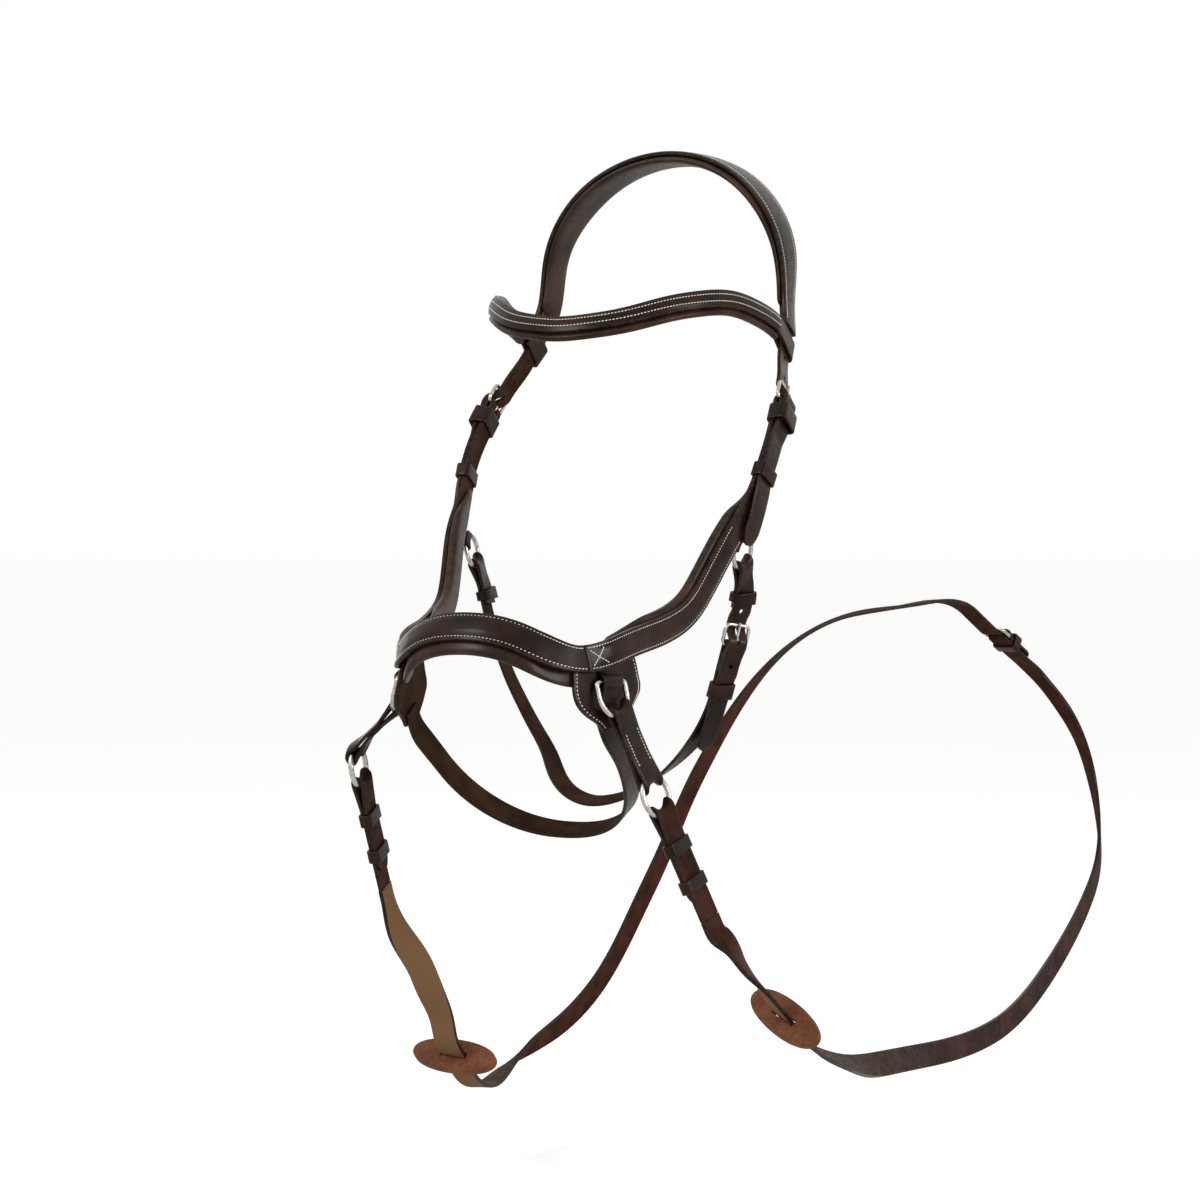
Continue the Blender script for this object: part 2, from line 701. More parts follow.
def add_buckle(name, frame, half_width):
    """Buckle frame and tongue, both with their origin on the bar."""
    frame_mesh, tongue_mesh = buckle_meshes(name, frame, half_width)
    add_object(name + "_frame", frame_mesh, bright_metal, frame.origin)
    add_object(name + "_tongue", tongue_mesh, bright_metal, frame.origin)


def tongue_slot_frame(place_frame, buckling):
    """Where the tongue goes through the billet."""
    length = buckling.bar - 0.47 * BUCKLE_LENGTH
    height = buckling.under + 0.62 * (buckling.over - buckling.under)
    return place_frame(length).moved(0, 0, height)


def tip_widths(half_width, lengths, tip_start, tip_end, blunt=0.30):
    """Half widths that close in to a rounded tip."""
    widths = []
    for length in lengths:
        share = min(max((length - tip_start) / (tip_end - tip_start), 0.0), 1.0)
        widths.append(half_width * (blunt + (1 - blunt) * math.sqrt(1 - share**2)))
    return widths


CHEEK_BUCKLING = Buckling(CHEEK.length_at(CHEEK_BAR_STATION), CHEEK_TOP_HEIGHT, CHEEK_ARM_THICKNESS,
                          BILLET_THICKNESS)


def crown_pad_thickness(length):
    """The crown pad thins towards both ends."""
    away = abs(length - CROWN_MIDDLE)
    thin = smooth_step(away, 0.35 * CROWN_PAD_HALF, CROWN_PAD_HALF)
    return CROWN_PAD_THICKNESS + (CROWN_PAD_END_THICKNESS - CROWN_PAD_THICKNESS) * thin


def crown():
    """Crown strap over its soft pad."""
    lengths = eased(CROWN_MIDDLE - CROWN_PAD_HALF, CROWN_MIDDLE + CROWN_PAD_HALF, 27)
    thickness = [crown_pad_thickness(length) for length in lengths]
    path = [(length, thick / 2) for length, thick in zip(lengths, thickness)]
    spread = CROWN_PAD_HALF_WIDTH - CROWN_PAD_END_HALF_WIDTH
    widths = [CROWN_PAD_HALF_WIDTH - spread * smooth_step(
        abs(length - CROWN_MIDDLE), 0.35 * CROWN_PAD_HALF, CROWN_PAD_HALF) for length in lengths]
    add_loft("crown_pad", ribbon_rows(CROWN.place, path, widths, thickness,
                                      outline(PAD_LATERAL_SHARES)), pad_leather)
    ends = eased(CROWN_PAD_HALF, CROWN_STRAP_HALF, 4)[1:]
    lengths = ([CROWN_MIDDLE - end for end in ends[::-1]] + lengths
               + [CROWN_MIDDLE + end for end in ends])
    path = [(length, crown_pad_thickness(length) + SEAT_GAP + CROWN_THICKNESS / 2)
            for length in lengths]
    spread = CROWN_HALF_WIDTH - CROWN_END_HALF_WIDTH
    widths = [CROWN_HALF_WIDTH - spread * smooth_step(
        abs(length - CROWN_MIDDLE), 0.35 * CROWN_STRAP_HALF, CROWN_STRAP_HALF) for length in lengths]
    add_loft("crown_strap", ribbon_rows(CROWN.place, path, widths, CROWN_THICKNESS,
                                        outline(WIDE_LATERAL_SHARES, 0.12)), strap_leather)


def cheek_billet(side, mirror):
    """Holed strap from under the crown strap, through the buckle and keepers, to its tip."""
    buckling = CHEEK_BUCKLING
    start = CROWN_JOIN - CROWN_MIDDLE + CROWN_PAD_HALF + 2 * SEAT_GAP
    top = [(length, BILLET_TOP) for length in eased(
        start, LOOP_LENGTH + BROWBAND_LOOP_HALF_WIDTH * 1.6, 5)]
    level_drop = [(length, BILLET_TOP + (buckling.under - BILLET_TOP) * smooth_step(
        length, top[-1][0], buckling.front - 0.3 * BUCKLE_LENGTH))
        for length in eased(top[-1][0], buckling.front - 0.2 * BUCKLE_LENGTH, 6)[1:-1]]
    middle = buckling.billet_path()
    end = CHEEK.length_at(BILLET_TIP_STATION)
    split = CHEEK.length_at(ARM_SPLIT_STATION)
    middle += [(length, buckling.on_strap) for length in eased(middle[-1][0], split - 0.004, 6)[1:]]
    low = [(length, arm_level(length) + CHEEK_ARM_THICKNESS + 4 * SEAT_GAP + BILLET_THICKNESS / 2)
           for length in eased(split + 0.004, end - BILLET_TIP_LENGTH, 5)]
    tip = [(length, low[-1][1]) for length in
           [end - BILLET_TIP_LENGTH * share for share in (0.75, 0.5, 0.28, 0.1, 0.0)]]
    shape = outline(NARROW_LATERAL_SHARES)
    rows = ribbon_rows(CHEEK.place, top + level_drop + middle, CHEEK_STRAP_HALF_WIDTH,
                       BILLET_THICKNESS, shape)
    path = low + tip
    widths = tip_widths(CHEEK_STRAP_HALF_WIDTH, [length for length, _ in path],
                        end - BILLET_TIP_LENGTH, end)
    rows += ribbon_rows(CHEEK.on_form, path, widths, BILLET_THICKNESS, shape)
    name = side + "_cheek_billet"
    billet = add_loft(name, rows, strap_leather, mirror=mirror)
    slot = tongue_slot_frame(CHEEK.frame, buckling)
    holes = [CHEEK.frame(buckling.bar - 0.47 * BUCKLE_LENGTH - HOLE_PITCH * count).moved(
        0, 0, buckling.under) for count in (1, 2)]
    add_cut(billet, hole_mesh(name + "_slot", [mirror_frame(slot, mirror)], HOLE_RADIUS, 2.6,
                              6 * BILLET_THICKNESS), name + "_slot")
    add_cut(billet, hole_mesh(name + "_holes", [mirror_frame(hole, mirror) for hole in holes],
                              HOLE_RADIUS, 1.0, 4 * BILLET_THICKNESS), name + "_holes")


def cheek_arm(side, mirror):
    """Outer leather from its fold round the buckle bar to the crossing over the nose strap."""
    buckling = CHEEK_BUCKLING
    chape = buckling.chape()
    split = ARM.length_at(ARM_SPLIT_STATION)
    upper = [(buckling.bar + 0.5 * CHAPE_LENGTH, CHEEK_TOP_HEIGHT + 0.45 * CHEEK_ARM_THICKNESS),
             (buckling.bar + 1.1 * CHAPE_LENGTH, CHEEK_TOP_HEIGHT + CHEEK_ARM_THICKNESS / 2)]
    upper += [(length, CHEEK_TOP_HEIGHT + CHEEK_ARM_THICKNESS / 2)
              for length in eased(upper[-1][0], split - 0.012, 6)[1:]]
    path = chape + upper
    thickness = [CHAPE_THICKNESS] * len(chape) + [0.9 * CHEEK_ARM_THICKNESS]
    thickness += [CHEEK_ARM_THICKNESS] * (len(path) - len(thickness))
    shape = outline(WIDE_LATERAL_SHARES)
    rows = ribbon_rows(CHEEK.place, path, CHEEK_STRAP_HALF_WIDTH, thickness, shape)
    lengths = eased(split, ARM.length_at(ARM_END_STATION), 21)
    lower = [(length, arm_level(length) + CHEEK_ARM_THICKNESS / 2) for length in lengths]
    widths = [CHEEK_STRAP_HALF_WIDTH
              + (CHEEK_ARM_HALF_WIDTH - CHEEK_STRAP_HALF_WIDTH) * smooth_step(
                  length, split, ARM.length_at(0.43))
              + (CHEEK_CROSS_HALF_WIDTH - CHEEK_ARM_HALF_WIDTH) * smooth_step(
                  length, ARM.length_at(0.58), ARM.length_at(0.65))
              for length in lengths]
    rows += ribbon_rows(ARM.on_form, lower, widths, CHEEK_ARM_THICKNESS, shape)
    name = side + "_cheek_arm"
    arm = add_loft(name, rows, strap_leather, mirror=mirror)
    slot = CHEEK.frame(buckling.bar).moved(-buckling.turn / 2, 0, buckling.height + buckling.turn / 2)
    add_cut(arm, slot_mesh(name + "_slot", mirror_frame(slot, mirror), buckling.turn), name + "_slot")


def slot_mesh(name, frame, reach):
    """Square punch for the tongue at the top of a fold."""
    built = bmesh.new()
    size = (5 * reach, 2 * TONGUE_RADIUS + 4 * SEAT_GAP, 4 * reach)
    matrix = frame.matrix() @ Matrix.Diagonal((*size, 1))
    bmesh.ops.create_cube(built, size=1, matrix=matrix)
    mesh = bpy.data.meshes.new(name)
    built.to_mesh(mesh)
    built.free()
    return mesh


def cheek_hardware(side, mirror):
    """Buckle, fixed keeper and sliding keeper of a cheek."""
    buckling = CHEEK_BUCKLING
    bar = CHEEK.frame(buckling.bar).moved(0, 0, buckling.height)
    add_buckle(side + "_cheek_buckle", mirror_frame(bar, mirror), CHEEK_STRAP_HALF_WIDTH)
    half = CHEEK_STRAP_HALF_WIDTH + SLEEVE_GAP
    low = CHEEK_TOP_HEIGHT - SLEEVE_GAP
    start = buckling.bar + 0.34 * CHAPE_LENGTH
    top = buckling.over + BILLET_THICKNESS / 2 + SLEEVE_GAP
    rows = sleeve_rows(CHEEK.place, start, start + 0.013, half, low, top, KEEPER_THICKNESS)
    add_loft(side + "_cheek_fixed_keeper", rows, strap_leather, closed=True, mirror=mirror)
    middle = CHEEK.length_at(CHEEK_KEEPER_STATION)
    frame = CHEEK.frame(middle)
    top = buckling.on_strap + BILLET_THICKNESS / 2 + 2 * SLEEVE_GAP
    rows = sleeve_rows(frame.place, -0.0048, 0.0048, half, low, top, KEEPER_THICKNESS)
    add_loft(side + "_cheek_sliding_keeper", rows, strap_leather, closed=True, mirror=mirror,
             origin=flipped(frame.origin, mirror))


def cheek_pad(side, mirror):
    """Soft pad behind the cheek arm, pointed at its top."""
    start = ARM.length_at(CHEEK_PAD_TIP_STATION)
    end = ARM.length_at(0.640)
    lengths = eased(start, end, 17)
    path = []
    thickness = []
    edges = []
    for length in lengths:
        shares = smooth_step(length, start, start + 0.035)
        full = arm_level(length) - SEAT_GAP - PAD_LIFT
        thin = smooth_step(length, ARM.length_at(0.565), ARM.length_at(0.600))
        thick = full * (1 - thin) + NOSE_PAD_THIN * thin
        path.append((length, PAD_LIFT + thick / 2))
        thickness.append(thick)
        edges.append((-0.002 - (CHEEK_PAD_REAR - 0.002) * shares,
                      0.004 + (CHEEK_PAD_FRONT - 0.004) * shares))
    rows = ribbon_rows(ARM.on_form, path, edges, thickness, outline(PAD_LATERAL_SHARES))
    add_loft(side + "_cheek_pad", rows, pad_leather, mirror=mirror)


def browband():
    """Raised band over the brow, with both ends folded round the cheek billets, and its pad."""
    end_turn = BILLET_THICKNESS / 2 + SLEEVE_GAP + BROWBAND_LOOP_THICKNESS / 2
    loop = CHEEK.frame(LOOP_LENGTH)
    distances = np.linalg.norm(BROW.points[:80] - loop.origin, axis=1)
    near = float(BROW.lengths[int(np.argmin(distances))])
    frame = Frame(loop.origin, BROW.frame(near).along, loop.out)
    reach = CHEEK_STRAP_HALF_WIDTH + 3 * SLEEVE_GAP
    outer = BILLET_TOP + end_turn
    inner = BILLET_TOP - end_turn
    fold = [(reach + 0.003, inner), (0.4 * reach, inner), (-0.4 * reach, inner)]
    fold += turn_path(-reach, BILLET_TOP, end_turn, 270, 90, 7)
    fold += [(-0.4 * reach, outer), (0.4 * reach, outer), (reach, outer)]
    rows = ribbon_rows(frame.place, fold, BROWBAND_LOOP_HALF_WIDTH, BROWBAND_LOOP_THICKNESS,
                       outline(WIDE_LATERAL_SHARES, 0.0))
    level = BROWBAND_PAD_THICKNESS + PAD_LIFT + SEAT_GAP + BROWBAND_THICKNESS / 2
    start = near + reach + 0.012
    lengths = eased(start, BROW.total - start, 33)
    path = [(length, level) for length in lengths]
    middle = ribbon_rows(BROW.place, path, BROWBAND_HALF_WIDTH, BROWBAND_THICKNESS,
                         outline(WIDE_LATERAL_SHARES, BROWBAND_RISE_SHARE))
    mirrored = [[flipped(point, True) for point in row] for row in rows[::-1]]
    add_loft("browband", rows + middle + mirrored, strap_leather)
    path = [(length, PAD_LIFT + BROWBAND_PAD_THICKNESS / 2) for length in lengths[1:-1]]
    edges = [(-BROWBAND_PAD_BELOW, BROWBAND_PAD_ABOVE)] * len(path)
    rows = ribbon_rows(BROW.place, path, edges, BROWBAND_PAD_THICKNESS, outline(WIDE_LATERAL_SHARES))
    add_loft("browband_pad", rows, pad_leather)


def noseband():
    """Nose strap over its pad."""
    lengths = eased(0.006, NOSE.total - 0.006, 31)
    path = [(length, STRAP_LEVEL + NOSE_STRAP_THICKNESS / 2) for length in lengths]
    spread = NOSE_STRAP_HALF_WIDTH - NOSE_STRAP_END_HALF_WIDTH
    widths = [NOSE_STRAP_END_HALF_WIDTH + spread * smooth_step(
        min(length, NOSE.total - length), 0.028, 0.055) for length in lengths]
    add_loft("nose_strap", ribbon_rows(NOSE.on_form, path, widths, NOSE_STRAP_THICKNESS,
                                       outline(WIDE_LATERAL_SHARES)), strap_leather)
    lengths = eased(0.014, NOSE.total - 0.014, 33)
    path = []
    thickness = []
    edges = []
    for length in lengths:
        end = min(length, NOSE.total - length)
        thick = NOSE_PAD_THIN + (NOSE_PAD_THICKNESS - NOSE_PAD_THIN) * smooth_step(end, 0.044, 0.062)
        path.append((length, PAD_LIFT + thick / 2))
        thickness.append(thick)
        narrow = 0.004 * (1 - smooth_step(end, 0.014, 0.030))
        edges.append((-NOSE_PAD_BELOW + narrow, NOSE_PAD_ABOVE - narrow))
    rows = ribbon_rows(NOSE.on_form, path, edges, thickness, outline(PAD_LATERAL_SHARES))
    add_loft("nose_pad", rows, pad_leather)


def side_patch(side, mirror):
    """Leather patch under the crossing, cut wide at the top and narrow over the chin strap."""
    shares = (0.0, 0.12, 0.3, 0.5, 0.62, 0.75, 0.88, 1.0)
    path = [(PATCH_LENGTH * share, PATCH_LEVEL + PATCH_THICKNESS / 2) for share in shares]
    spread = PATCH_MIDDLE_HALF_WIDTH - PATCH_TOP_HALF_WIDTH
    edges = []
    for share in shares:
        grown = PATCH_TOP_HALF_WIDTH + spread * smooth_step(share, 0.0, 0.5)
        closing = smooth_step(share, 0.5, 1.0) * (PATCH_MIDDLE_HALF_WIDTH - PATCH_BOTTOM_HALF_WIDTH)
        edges.append((-grown + closing, grown - closing))
    laterals = (-1.0, -0.95, -0.6, -0.2, 0.2, 0.6, 0.95, 1.0)
    rows = ribbon_rows(PATCH.on_form, path, edges, PATCH_THICKNESS, outline(laterals))
    add_loft(side + "_side_patch", rows, strap_leather, mirror=mirror)


def chin_strap():
    """Strap under the chin from patch to patch."""
    lengths = eased(0.004, CHIN.total - 0.004, 33)
    path = []
    for length in lengths:
        end = min(length, CHIN.total - length)
        rise = 1 - smooth_step(end, 0.020, 0.060)
        low = CHIN_LIFT + (PATCH_LEVEL - SEAT_GAP - CHIN_THICKNESS - CHIN_LIFT) * rise
        path.append((length, low + CHIN_THICKNESS / 2))
    rows = ribbon_rows(CHIN.place, path, CHIN_HALF_WIDTH, CHIN_THICKNESS, outline(NARROW_LATERAL_SHARES))
    add_loft("chin_strap", rows, strap_leather)


def ring_conform(ring_radius, wire, contact, direction, near, far):
    """How a fold's places move so that it lies round a curved wire.

    direction points, in the length and height plane, from the wire to the centre of its curve.
    """
    def conform(length, height, b):
        held = min(abs(b), 0.97 * (ring_radius - wire))
        outer = math.sqrt((ring_radius + wire)**2 - held**2)
        inner = math.sqrt((ring_radius - wire)**2 - held**2)
        shift = ring_radius - (outer + inner) / 2
        stretch = (outer - inner) / (2 * wire) - 1
        away = (length - contact) * direction[0] + height * direction[1]
        away = min(max(away, -2 * wire), 2 * wire)
        weight = 1 - smooth_step(abs(length - contact), near, far)
        move = (shift + stretch * away) * weight
        return move * direction[0], move * direction[1]
    return conform


def dee_level():
    """Height of the dee's bar over the form."""
    return PATCH_TOP + SEAT_GAP + DEE_WIRE_RADIUS


def dee_frame():
    """Left dee: origin on the bar, along down to the bow, out away from the wearer."""
    bar = PATCH.frame(PATCH.length_at(DEE_STATION)).moved(0, 0, dee_level())
    return bar.turned(DEE_LEAN, bar.side)


def dee_tab(side, mirror):
    """Leather band sewn to the patch above and below the dee's bar."""
    bar = PATCH.length_at(DEE_STATION)
    turn = DEE_WIRE_RADIUS + WIRE_GAP + DEE_TAB_THICKNESS / 2
    height = dee_level()
    low = PATCH_TOP + SEAT_GAP + DEE_TAB_THICKNESS / 2
    path = [(bar - DEE_TAB_ABOVE, low), (bar - 0.75 * DEE_TAB_ABOVE, low + 0.0004)]
    path += turn_path(bar, height, turn, 145, 35, 7)
    path += [(bar + 0.42 * DEE_TAB_BELOW, (low + height + 0.4 * turn) / 2),
             (bar + 0.62 * DEE_TAB_BELOW, low + 0.0003), (bar + DEE_TAB_BELOW, low)]
    rows = ribbon_rows(PATCH.place, path, DEE_TAB_HALF_WIDTH, DEE_TAB_THICKNESS,
                       outline(NARROW_LATERAL_SHARES))
    add_loft(side + "_dee_tab", rows, strap_leather, mirror=mirror)


def dee_points():
    """Line of the dee's wire in its frame's plane: bar, legs and bow."""
    corner = 0.18 * DEE_RADIUS
    points = []
    for turn in (180, 150, 120, 90):
        direction = math.radians(turn)
        points.append((corner + corner * math.cos(direction),
                       DEE_RADIUS - corner + corner * math.sin(direction), 0))
    for turn in np.linspace(90, -90, 15):
        direction = math.radians(turn)
        points.append((DEE_LEG + DEE_RADIUS * math.cos(direction),
                       DEE_RADIUS * math.sin(direction), 0))
    for turn in (-90, -120, -150, -180):
        direction = math.radians(turn)
        points.append((corner + corner * math.cos(direction),
                       -DEE_RADIUS + corner + corner * math.sin(direction), 0))
    return points


def pair_path(first, second, wire_one, wire_two, half_gap, thickness):
    """Strap folded round two wires, its ends meeting behind half way between them."""
    turn_one = wire_one + WIRE_GAP + thickness / 2
    turn_two = wire_two + WIRE_GAP + thickness / 2
    span = second - first
    flat = thickness / 2 + half_gap
    path = [(first + 0.49 * span, -flat), (first + 0.33 * span, -flat)]
    path += turn_path(first, 0, turn_one, -70, -290, 9)
    path += [(first + 0.33 * span, flat), (first + 0.5 * span, flat), (first + 0.67 * span, flat)]
    path += turn_path(second, 0, turn_two, 110, -110, 9)
    path += [(first + 0.67 * span, -flat), (first + 0.51 * span, -flat)]
    return path


def add_hanger(side, mirror, lift, ring_turn):
    """Dee, connector strap and rein ring, hanging from the dee's bar.

    lift turns the connector away from the dee's plane, ring_turn turns the ring back down. Returns the
    frame at the rein ring, with along pointing down the rein.
    """
    dee = mirror_frame(dee_frame(), mirror)
    outward = -1 if mirror else 1
    name = side + "_dee_ring"
    mesh = wire_mesh(name, dee_points(), DEE_WIRE_RADIUS, dee.matrix(), True)
    add_object(name, mesh, bright_metal, dee.origin)
    bow = dee.moved(DEE_LEG, 0, 0)
    slant = bow.turned(outward * CONNECTOR_SLANT, bow.out).moved(DEE_RADIUS, 0, 0)
    strap = slant.turned(lift, slant.side)
    path = pair_path(0, CONNECTOR_LENGTH, DEE_WIRE_RADIUS, REIN_RING_WIRE, SEAT_GAP / 2,
                     CONNECTOR_THICKNESS)
    on_bow = ring_conform(DEE_RADIUS, DEE_WIRE_RADIUS, 0, (-math.cos(lift), math.sin(lift)),
                          CONFORM_NEAR, CONFORM_FAR)
    on_ring = ring_conform(REIN_RING_RADIUS, REIN_RING_WIRE, CONNECTOR_LENGTH,
                           (math.cos(ring_turn), -math.sin(ring_turn)), CONFORM_NEAR, CONFORM_FAR)

    def conform(length, height, b):
        nearest = on_bow if length < CONNECTOR_LENGTH / 2 else on_ring
        return nearest(length, height, b)

    rows = ribbon_rows(strap.place, path, CONNECTOR_HALF_WIDTH, CONNECTOR_THICKNESS,
                       outline(RING_LATERAL_SHARES), conform)
    add_loft(side + "_connector_strap", rows, strap_leather)
    contact = strap.moved(CONNECTOR_LENGTH, 0, 0)
    ring = contact.turned(-ring_turn, contact.side).moved(REIN_RING_RADIUS, 0, 0)
    name = side + "_rein_ring"
    add_object(name, ring_mesh(name, ring, REIN_RING_RADIUS, REIN_RING_WIRE), bright_metal, ring.origin)
    return ring


def rein_end(side, ring):
    """Folded end of the rein round its ring, with two keepers."""
    contact = REIN_RING_RADIUS
    turn = REIN_RING_WIRE + WIRE_GAP + REIN_END_THICKNESS / 2
    flat = REIN_END_THICKNESS / 2 + SEAT_GAP / 2
    fold_end = contact + REIN_FOLD_LENGTH
    path = [(length, -flat) for length in
            [fold_end - 0.012 * share for share in (0.0, 0.1, 0.28, 0.5, 0.75, 1.0)]]
    path += [(contact + 0.55 * REIN_FOLD_LENGTH, -flat), (contact + 0.28 * REIN_FOLD_LENGTH, -flat)]
    path += turn_path(contact, 0, turn, -70, -290, 9)
    path += [(contact + 0.28 * REIN_FOLD_LENGTH, flat), (contact + 0.6 * REIN_FOLD_LENGTH, flat),
             (fold_end, flat), (contact + REIN_END_LENGTH, flat)]
    widths = [REIN_HALF_WIDTH] * len(path)
    tips = tip_widths(REIN_HALF_WIDTH, [length for length, _ in path[:6]], fold_end - 0.012, fold_end)
    widths[:6] = tips
    conform = ring_conform(REIN_RING_RADIUS, REIN_RING_WIRE, contact, (-1, 0), CONFORM_NEAR, CONFORM_FAR)
    rows = ribbon_rows(ring.place, path, widths, REIN_END_THICKNESS, outline(RING_LATERAL_SHARES),
                       conform)
    add_loft(side + "_rein_end", rows, strap_leather)
    high = flat + REIN_END_THICKNESS / 2 + SLEEVE_GAP
    for name, share in (("upper", 0.30), ("lower", 0.72)):
        start = contact + share * REIN_FOLD_LENGTH
        rows = sleeve_rows(ring.place, start, start + 0.0085, REIN_HALF_WIDTH + SLEEVE_GAP, -high, high,
                           KEEPER_THICKNESS)
        add_loft(f"{side}_rein_{name}_keeper", rows, strap_leather, closed=True)
    return ring.moved(contact + REIN_END_LENGTH, 0, flat)


# The reins' routes in metres, chosen by hand: place and outward side of the leather
LEFT_REIN_POINTS = (
    (0.136, -0.213, -0.524), (0.142, -0.203, -0.539), (0.148, -0.189, -0.554), (0.154, -0.160, -0.579),
    (0.155, -0.119, -0.603), (0.154, -0.073, -0.618), (0.145, -0.004, -0.632), (0.135, 0.066, -0.640),
    (0.123, 0.150, -0.648), (0.114, 0.230, -0.655), (0.108, 0.380, -0.655), (0.097, 0.530, -0.627),
    (0.086, 0.660, -0.580), (0.074, 0.727, -0.536), (0.058, 0.750, -0.480), (0.041, 0.727, -0.422))
LEFT_REIN_SIDES = (
    (0.92, -0.12, 0.36), (0.83, 0.1, 0.55), (0.64, 0.33, 0.7), (0.53, 0.42, 0.74), (0.52, 0.36, 0.78),
    (0.55, 0.25, 0.79), (0.75, 0.05, 0.6), (0.92, -0.05, 0.35), (0.98, -0.05, 0.2), (1.0, 0.0, 0.12),
    (1.0, 0.0, 0.1), (1.0, -0.05, 0.1), (0.97, 0.2, 0.1), (0.9, 0.4, 0.15), (0.75, 0.62, 0.2),
    (0.45, 0.75, 0.45))
RIGHT_REIN_POINTS = (
    (-0.109, -0.212, -0.528), (-0.100, -0.200, -0.551),
    (-0.096, -0.190, -0.571), (-0.093, -0.178, -0.594), (-0.093, -0.160, -0.620),
    (-0.095, -0.131, -0.642), (-0.097, -0.104, -0.647), (-0.099, -0.074, -0.640),
    (-0.098, -0.048, -0.632), (-0.092, 0.000, -0.618), (-0.085, 0.052, -0.591),
    (-0.080, 0.110, -0.540), (-0.076, 0.145, -0.503), (-0.073, 0.175, -0.468),
    (-0.069, 0.208, -0.435), (-0.062, 0.268, -0.388), (-0.055, 0.345, -0.352),
    (-0.044, 0.435, -0.332), (-0.028, 0.530, -0.326))
RIGHT_REIN_SIDES = (
    (-0.98, 0.14, 0.16), (-0.73, 0.48, 0.48), (-0.38, 0.66, 0.65), (0.01, 0.72, 0.69),
    (0.07, 0.713, 0.688), (0.02, 0.2, 0.97), (-0.1, -0.1, 0.97), (-0.4, -0.25, 0.85),
    (-0.72, -0.2, 0.6), (-0.94, 0.0, 0.3), (-0.99, 0.0, 0.12), (-1.0, 0.0, 0.0), (-1.0, 0.0, 0.0),
    (-1.0, 0.0, 0.05), (-0.97, 0.0, 0.15), (-0.85, -0.1, 0.4), (-0.6, -0.1, 0.75),
    (-0.3, 0.0, 0.95), (-0.1, 0.1, 1.0))
REIN_MEETING = np.array((0.004, 0.660, -0.358))
REIN_MEETING_ALONG = np.array((-0.20, -0.86, 0.47))
REIN_MEETING_OUT = np.array((0.1, 0.45, 0.88))
REIN_ROWS = 66
LEFT_STOP_SPOT = 3
RIGHT_STOP_SPOT = 4


def rein_buckling():
    return Buckling(0.0, -REIN_THICKNESS / 2, REIN_END_THICKNESS, REIN_END_THICKNESS)


def meeting_frame():
    """Where the two reins buckle together: origin at the bar, along towards the left rein."""
    return Frame(REIN_MEETING, -REIN_MEETING_ALONG, REIN_MEETING_OUT)


def rein_route(start, points, outs, spot, past, meeting, meeting_side):
    """Route of one rein from its folded end to the buckle where the reins meet.

    The route is straight beside the stop at spot; past is the share of that straight beyond the stop.
    """
    places = [start.origin, start.place(REIN_HALF_WIDTH, 0, 0)]
    turned = [start.out] * 2
    for index, (point, out) in enumerate(zip(points, outs)):
        if index == spot:
            along = unit(np.subtract(points[index + 1], points[index - 1]))
            places += [point - along * REIN_STRAIGHT, np.array(point),
                       point + along * REIN_STRAIGHT * past]
            turned += [unit(out)] * 3
        else:
            places.append(np.array(point))
            turned.append(unit(out))
    places += [meeting.place(meeting_side * reach * REIN_BUCKLE_SPAN, 0, 0) for reach in (1.35, 1.0)]
    return Route(places, turned + [meeting.out] * 2, 700)


def reins(left_start, right_start):
    """Both free reins, with their stops, and the buckle that joins them."""
    meeting = meeting_frame()
    left = rein_route(left_start, LEFT_REIN_POINTS, LEFT_REIN_SIDES, LEFT_STOP_SPOT, 1.0, meeting, 1)
    right = rein_route(right_start, RIGHT_REIN_POINTS, RIGHT_REIN_SIDES, RIGHT_STOP_SPOT, 0.5, meeting,
                       -1)
    buckling = rein_buckling()
    shape = outline(NARROW_LATERAL_SHARES)
    for name, start, route, rows_end in (
            ("left_rein", left_start, left, chape_rows(meeting, buckling)),
            ("right_rein", right_start, right, billet_rows(meeting, buckling))):
        rows = ribbon_rows(start.place, [(SEAT_GAP, 0.0), (REIN_HALF_WIDTH, 0.0)], REIN_HALF_WIDTH,
                           REIN_THICKNESS, shape)
        lengths = eased(2 * REIN_HALF_WIDTH, route.total, REIN_ROWS)
        rows += ribbon_rows(route.place, [(length, 0.0) for length in lengths], REIN_HALF_WIDTH,
                            REIN_THICKNESS, shape)
        rein = add_loft(name, rows + rows_end, strap_leather)
        if name == "left_rein":
            slot = meeting.moved(-buckling.turn / 2, 0, buckling.height + buckling.turn / 2)
            add_cut(rein, slot_mesh(name + "_slot", slot, buckling.turn), name + "_slot")
        else:
            slot = tongue_slot_frame(meeting.frame, buckling)
            add_cut(rein, hole_mesh(name + "_slot", [slot], HOLE_RADIUS, 2.6, 6 * REIN_END_THICKNESS),
                    name + "_slot")
    add_buckle("rein_buckle", meeting.moved(0, 0, buckling.height), REIN_HALF_WIDTH)
    rows = sleeve_rows(meeting.place, 0.0095, 0.0185, REIN_HALF_WIDTH + SLEEVE_GAP,
                       buckling.level - SLEEVE_GAP,
                       buckling.over + REIN_END_THICKNESS / 2 + SLEEVE_GAP, KEEPER_THICKNESS)
    add_loft("rein_buckle_keeper", rows, strap_leather, closed=True)
    for side, route, points, spot in (("left", left, LEFT_REIN_POINTS, LEFT_STOP_SPOT),
                                      ("right", right, RIGHT_REIN_POINTS, RIGHT_STOP_SPOT)):
        distances = np.linalg.norm(route.points - np.array(points[spot]), axis=1)
        rein_stop(side, route.frame(float(route.lengths[int(np.argmin(distances))])))


